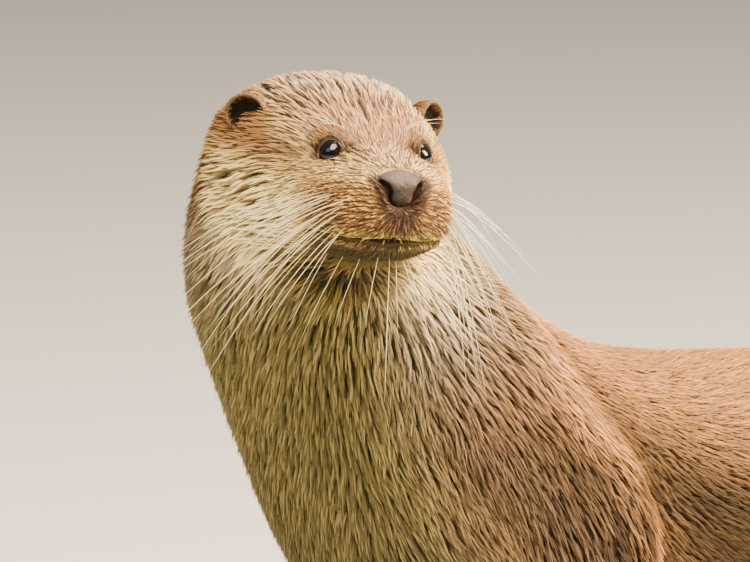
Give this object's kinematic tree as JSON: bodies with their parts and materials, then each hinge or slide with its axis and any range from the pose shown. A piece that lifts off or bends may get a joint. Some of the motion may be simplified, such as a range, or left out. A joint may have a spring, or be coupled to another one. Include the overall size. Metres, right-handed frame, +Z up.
{
  "type": "otter figure",
  "caption": "Life-size Eurasian otter standing on four feet with a long raised neck, its broad head turned to its left, and a thick tapering tail that comes down to the floor.",
  "frame": {"origin": "on the floor, under the middle of the model's bounding box", "axes": "+X along the trunk from tail to head, +Y to the animal's left, +Z up from the floor"},
  "size_m": [0.9432, 0.2636, 0.4106],
  "materials": {
    "coat": "dense brown fur",
    "pale_coat": "dense fur, greyish brown above and cream below",
    "eye": "glossy dark brown",
    "nose": "bare grained skin",
    "claw": "smooth horn"
  },
  "bodies": {
    "root": {"head": "pale_coat", "neck": "pale_coat", "nose": "nose", "eye_left": "eye", "ear_left": "coat", "eye_right": "eye", "ear_right": "coat", "trunk": "coat", "tail_root": "coat", "tail_middle": "coat", "tail_tip": "coat", "upper_arm_left": "coat", "forearm_left": "coat", "forepaw_left": "coat", "forepaw_left_claw_1": "claw", "forepaw_left_claw_2": "claw", "forepaw_left_claw_3": "claw", "forepaw_left_claw_4": "claw", "forepaw_left_claw_5": "claw", "upper_arm_right": "coat", "forearm_right": "coat", "forepaw_right": "coat", "forepaw_right_claw_1": "claw", "forepaw_right_claw_2": "claw", "forepaw_right_claw_3": "claw", "forepaw_right_claw_4": "claw", "forepaw_right_claw_5": "claw", "thigh_left": "coat", "shank_left": "coat", "hindpaw_left": "coat", "hindpaw_left_claw_1": "claw", "hindpaw_left_claw_2": "claw", "hindpaw_left_claw_3": "claw", "hindpaw_left_claw_4": "claw", "hindpaw_left_claw_5": "claw", "thigh_right": "coat", "shank_right": "coat", "hindpaw_right": "coat", "hindpaw_right_claw_1": "claw", "hindpaw_right_claw_2": "claw", "hindpaw_right_claw_3": "claw", "hindpaw_right_claw_4": "claw", "hindpaw_right_claw_5": "claw"}
  },
  "joints": []
}
